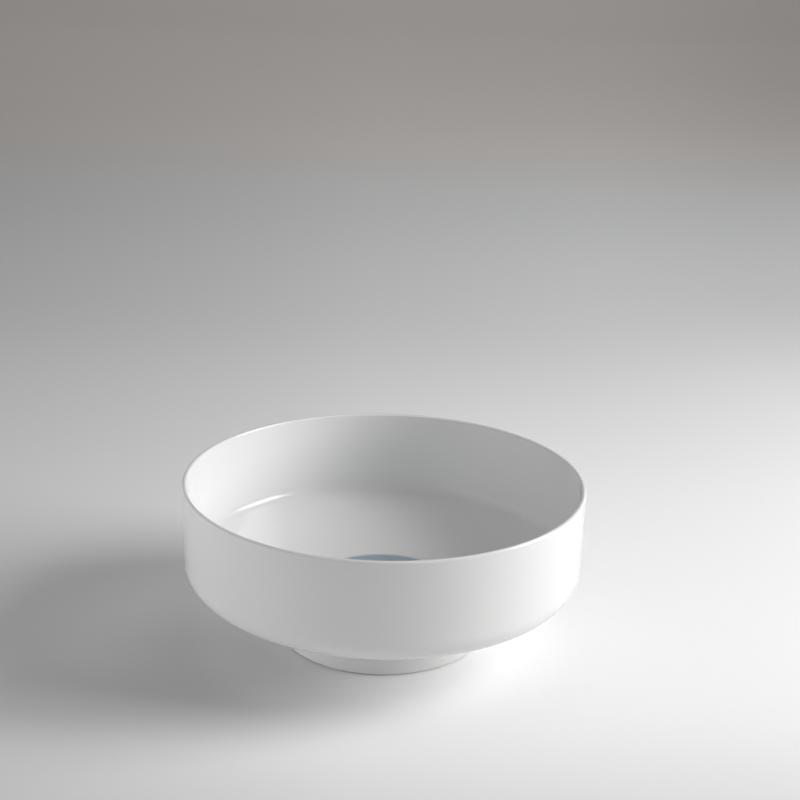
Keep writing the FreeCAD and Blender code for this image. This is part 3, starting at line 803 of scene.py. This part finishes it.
def make_cover(chrome):
    """The wide cover with its crown, lip and threaded boss."""
    outside = reach("drain_cover")
    apex = highest("drain_cover")
    boss_low = lowest("drain_cover")
    bore_top = boss_low + SPINDLE_BORE_DEPTH
    edge_top = apex - COVER_CROWN
    under = edge_top - COVER_THICKNESS
    lip_low = under - COVER_LIP_DEPTH
    lip_inside = outside - COVER_LIP_WIDTH
    crown_round = COVER_CROWN_ROUND_SHARE * outside ** 2 / (2 * COVER_CROWN)
    points = profile([
        (SPINDLE_BORE, bore_top, HAIRLINE_ROUND),
        (SPINDLE_BORE, boss_low, HAIRLINE_ROUND),
        (COVER_BOSS_RADIUS, boss_low, HAIRLINE_ROUND),
        (COVER_BOSS_RADIUS, under, COVER_EDGE_ROUND),
        (lip_inside, under, HAIRLINE_ROUND),
        (lip_inside, lip_low, HAIRLINE_ROUND),
        (outside, lip_low, HAIRLINE_ROUND),
        (outside, edge_top, COVER_EDGE_ROUND),
        (outside / 2, apex, crown_round),
        (AXIS_GAP, apex, AXIS_ROUND),
        (AXIS_GAP, bore_top, AXIS_ROUND),
    ])
    made = turned_ring(points, SMALL_SEGMENTS)
    new_piece("cover_disc", made, "cover", chrome, ["drain_cover"])


def make_waste(chrome):
    """The waste's flange, throat and threaded tail."""
    top = highest("waste_body")
    low = lowest("waste_body")
    flange = reach("waste_body")
    bore = TAIL_RADIUS - TAIL_WALL
    flange_low = top - FLANGE_THICKNESS
    groove = TAIL_RADIUS - RELIEF_DEPTH
    groove_top = lowest("back_nut")
    groove_low = groove_top - RELIEF_WIDTH
    thread_start = low + TAIL_ROUND
    outer = profile([
        (bore, low, TAIL_ROUND),
        (TAIL_RADIUS, low, TAIL_ROUND),
        (TAIL_RADIUS, groove_low, RELIEF_ROUND),
        (groove, groove_low, RELIEF_ROUND),
        (groove, groove_top, RELIEF_ROUND),
        (TAIL_RADIUS, groove_top, RELIEF_ROUND),
        (TAIL_RADIUS, flange_low, HAIRLINE_ROUND),
        (flange, flange_low, HAIRLINE_ROUND),
        (flange, top, FLANGE_ROUND),
        (bore + THROAT_WIDTH, top, TAIL_ROUND),
        (bore, top - THROAT_DEPTH, TAIL_ROUND),
    ])

    def on_tail(point):
        """Whether a point lies on the tail's outer face."""
        return abs(point.x - TAIL_RADIUS) < SAME_PLACE

    threaded = []
    for index, point in enumerate(outer):
        after = outer[(index + 1) % len(outer)]
        threaded.append(point)
        steps = math.ceil((after.y - point.y) / THREAD_PITCH * THREAD_STEPS)
        if on_tail(point) and on_tail(after) and point.y < groove_low:
            threaded += [point.lerp(after, step / steps) for step in range(1, steps)]

    def cut_thread(point, angle):
        """Sinks a point of the tail's outer face into the thread's groove."""
        if not (on_tail(point) and thread_start < point.y < groove_low):
            return point
        phase = (point.y / THREAD_PITCH - angle / FULL_TURN) % 1
        fade_in = (point.y - thread_start) / THREAD_PITCH
        fade_out = (groove_low - point.y) / THREAD_PITCH * THREAD_RUN_OUT
        groove_share = THREAD_PEAK - abs(phase - 1 / 2) * THREAD_SLOPE
        depth = THREAD_DEPTH * min(1, fade_in, fade_out) * min(1, max(0, groove_share))
        return Vector((point.x - depth, point.y))

    made = turned_ring(threaded, SMALL_SEGMENTS, cut_thread)
    new_piece("waste_tail", made, "root", chrome, ["waste_body"])


def make_web(chrome):
    """The cross web with its hub, which carries the clicker."""
    hub_top = highest("waste_body") - HUB_DEPTH
    hub_low = hub_top - HUB_HEIGHT
    hub = turned_ring(profile([
        (HUB_BORE, hub_low, HAIRLINE_ROUND),
        (HUB_RADIUS, hub_low, WEB_ROUND),
        (HUB_RADIUS, hub_top, WEB_ROUND),
        (HUB_BORE, hub_top, HAIRLINE_ROUND),
    ]), SMALL_SEGMENTS)
    new_piece("waste_hub", hub, "root", chrome)
    start = HUB_RADIUS - WEB_OVERLAP
    end = TAIL_RADIUS - TAIL_WALL + WEB_OVERLAP
    size = (end - start, WEB_WIDTH, HUB_HEIGHT)
    middle = Vector(((start + end) / 2, 0, (hub_low + hub_top) / 2))
    made = bmesh.new()
    for index in range(WEB_ARMS):
        arm = bmesh.ops.create_cube(made, size=1)["verts"]
        for vertex in arm:
            vertex.co = Vector(a * b for a, b in zip(vertex.co, size)) + middle
        turn = Matrix.Rotation(index * FULL_TURN / WEB_ARMS, 3, "Z")
        bmesh.ops.rotate(made, verts=arm, matrix=turn)
    bmesh.ops.bevel(made, geom=made.edges[:], offset=WEB_ROUND, segments=WEB_ROUND_STEPS,
                    affect="EDGES", profile=WEB_ROUND_FULLNESS)
    new_piece("waste_web", made, "root", chrome)


def make_nut(brass):
    """The hexagon nut with its collar, bore and chamfered corners."""
    low = lowest("back_nut")
    top = highest("back_nut")
    collar_low = top - NUT_COLLAR_HEIGHT
    bore = TAIL_RADIUS + NUT_BORE_GAP
    flat_turn = FULL_TURN / NUT_FLATS
    corner = NUT_HALF_FLATS / math.cos(flat_turn / 2)
    blank = 2 * NUT_COLLAR_RADIUS
    points = [
        Vector((bore + NUT_ROUND, low)),
        Vector((bore, low + NUT_ROUND)),
        Vector((bore, top - NUT_ROUND)),
        Vector((bore + NUT_ROUND, top)),
        Vector((NUT_COLLAR_RADIUS - NUT_ROUND, top)),
        Vector((NUT_COLLAR_RADIUS - NUT_ROUND_INSET, top - NUT_ROUND_INSET)),
        Vector((NUT_COLLAR_RADIUS, top - NUT_ROUND)),
        Vector((NUT_COLLAR_RADIUS, collar_low + NUT_ROUND)),
        Vector((NUT_COLLAR_RADIUS - NUT_ROUND_INSET, collar_low + NUT_ROUND_INSET)),
        Vector((NUT_COLLAR_RADIUS - NUT_ROUND, collar_low)),
    ]
    for index in range(NUT_FLANK_STEPS + 1):
        points.append(Vector((blank, collar_low + (low - collar_low) * index / NUT_FLANK_STEPS)))
    points.append(Vector((bore + 2 * NUT_ROUND, low)))

    def cut_hexagon(point, angle):
        """Cuts the blank's flanks to chamfered flats, and leaves the bore and the collar."""
        if point.x < blank - NUT_ROUND:
            return point
        flat = NUT_HALF_FLATS / math.cos(angle % flat_turn - flat_turn / 2)
        chamfer = corner - NUT_CHAMFER + (point.y - low) * NUT_CHAMFER_SLOPE
        return Vector((min(flat, chamfer), point.y))

    made = turned_ring(points, NUT_SEGMENTS, cut_hexagon)
    piece = new_piece("back_nut_hexagon", made, "root", brass, ["back_nut"])
    piece.data.set_sharp_from_angle(angle=NUT_SHARP_ANGLE)


def make_spring(wire):
    """The spring, a copy of its CAD node's mesh with the wire's material."""
    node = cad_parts["clicker_spring"]
    mesh = node.data.copy()
    mesh.name = "spring_coil"
    mesh.transform(node.matrix_world)
    mesh.materials.clear()
    mesh.materials.append(wire)
    piece = bpy.data.objects.new("spring_coil", mesh)
    bpy.context.scene.collection.objects.link(piece)
    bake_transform(piece)
    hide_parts("clicker_spring")


def dress_nodes(material, *nodes):
    """Gives carried-over CAD nodes their material."""
    for node in nodes:
        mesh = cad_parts[node].data
        mesh.materials.clear()
        mesh.materials.append(material)


# The studio

def make_floor():
    """A pale floor that curves up into a backdrop, with wide outskirts just below it."""
    line = [(FLOOR_FRONT, 0.0), (0.0, 0.0), (FLOOR_BACK, 0.0)]
    for step in range(1, COVE_STEPS + 1):
        angle = math.pi / 2 * step / COVE_STEPS
        line.append((FLOOR_BACK + COVE_RADIUS * math.sin(angle), COVE_RADIUS * (1 - math.cos(angle))))
    line.append((FLOOR_BACK + COVE_RADIUS, WALL_HEIGHT))
    made = bmesh.new()
    rows = [[made.verts.new((side * FLOOR_HALF_WIDTH, y, z)) for side in (-1, 1)] for y, z in line]
    for near, far in zip(rows, rows[1:]):
        made.faces.new((near[0], near[1], far[1], far[0]))
    around = []
    for x, y in ((-1, -1), (1, -1), (1, 1), (-1, 1)):
        around.append(made.verts.new((x * OUTSKIRTS_REACH, y * OUTSKIRTS_REACH, -OUTSKIRTS_DROP)))
    made.faces.new(around)
    mesh = bpy.data.meshes.new("studio_floor")
    made.to_mesh(mesh)
    made.free()
    mesh.shade_smooth()
    mesh.materials.append(studio_paper())
    floor = bpy.data.objects.new("studio_floor", mesh)
    bpy.context.scene.collection.objects.link(floor)


def make_light(name, place, size, watts, shows=True):
    """A soft rectangular light that faces the object, and shows in reflections or not."""
    lamp = bpy.data.lights.new(name, "AREA")
    lamp.shape = "RECTANGLE"
    lamp.size, lamp.size_y = size
    lamp.energy = watts
    light = bpy.data.objects.new(name, lamp)
    light.location = place
    light.visible_camera = False
    light.visible_glossy = shows
    light.rotation_euler = (Vector(AIM) - Vector(place)).to_track_quat("-Z", "Y").to_euler()
    bpy.context.scene.collection.objects.link(light)


def make_world():
    """Soft light from the horizon, which fades overhead, and less so where it is seen or mirrored."""
    world = bpy.data.worlds.new("studio_air")
    world.use_nodes = True
    tree = world.node_tree
    directions = tree.nodes.new("ShaderNodeTexCoord")
    _, _, upward = parts_of(tree, directions.outputs["Generated"])
    top = remap(tree, seen_directly(tree), 0.0, 1.0, WORLD_TOP_LIT, WORLD_TOP_SEEN)
    background = tree.nodes["Background"]
    put(tree, background.inputs["Strength"], remap(tree, upward, 0.0, 1.0, WORLD_HORIZON, top))
    background.inputs["Color"].default_value = WHITE
    bpy.context.scene.world = world


def make_camera():
    """The photo's camera: its place, its downward pitch and its slight roll."""
    camera = bpy.data.objects.new("photo_camera", bpy.data.cameras.new("photo_camera"))
    camera.data.sensor_width = SENSOR
    camera.data.lens = SENSOR * CAMERA_FOCAL_PIXELS / PHOTO_PIXELS
    pitch = Matrix.Rotation(math.pi / 2 - CAMERA_PITCH, 4, "X")
    roll = Matrix.Rotation(CAMERA_ROLL, 4, "Z")
    camera.matrix_world = Matrix.Translation(CAMERA_PLACE) @ pitch @ roll
    bpy.context.scene.collection.objects.link(camera)
    bpy.context.scene.camera = camera


blue_chrome = turned_metal("cover_chrome", COVER_TONES, COVER_ROUGHNESS, COVER_RING_WAVES, COVER_RING_DEPTH)
plate = turned_metal("waste_chrome", PLATE_TONES, PLATE_ROUGHNESS, PLATE_RING_WAVES, PLATE_RING_DEPTH)
brass = turned_metal("machined_brass", BRASS_TONES, BRASS_ROUGHNESS, BRASS_RING_WAVES, BRASS_RING_DEPTH)

make_bowl()
make_cover(blue_chrome)
make_waste(plate)
make_web(plate)
make_nut(brass)
make_spring(drawn_wire())
dress_nodes(rubber(), "flange_seal", "lower_seal", "spindle_ring", "cover_seal")
dress_nodes(brass, "clicker_cap", "lock_nut", "clicker_spindle")
dress_nodes(moulded("white_plastic", WHITE_PLASTIC_TONES), "clicker_housing", "plug_carrier", "index_rotor")
dress_nodes(moulded("washer_plastic", WASHER_TONES), "slip_washer")

make_floor()
make_world()
make_light("key_light", KEY_PLACE, KEY_SIZE, KEY_WATTS)
make_light("fill_light", FILL_PLACE, FILL_SIZE, FILL_WATTS, shows=False)
make_light("low_light", LOW_PLACE, LOW_SIZE, LOW_WATTS, shows=False)
make_camera()
bpy.context.scene.view_settings.view_transform = "Standard"
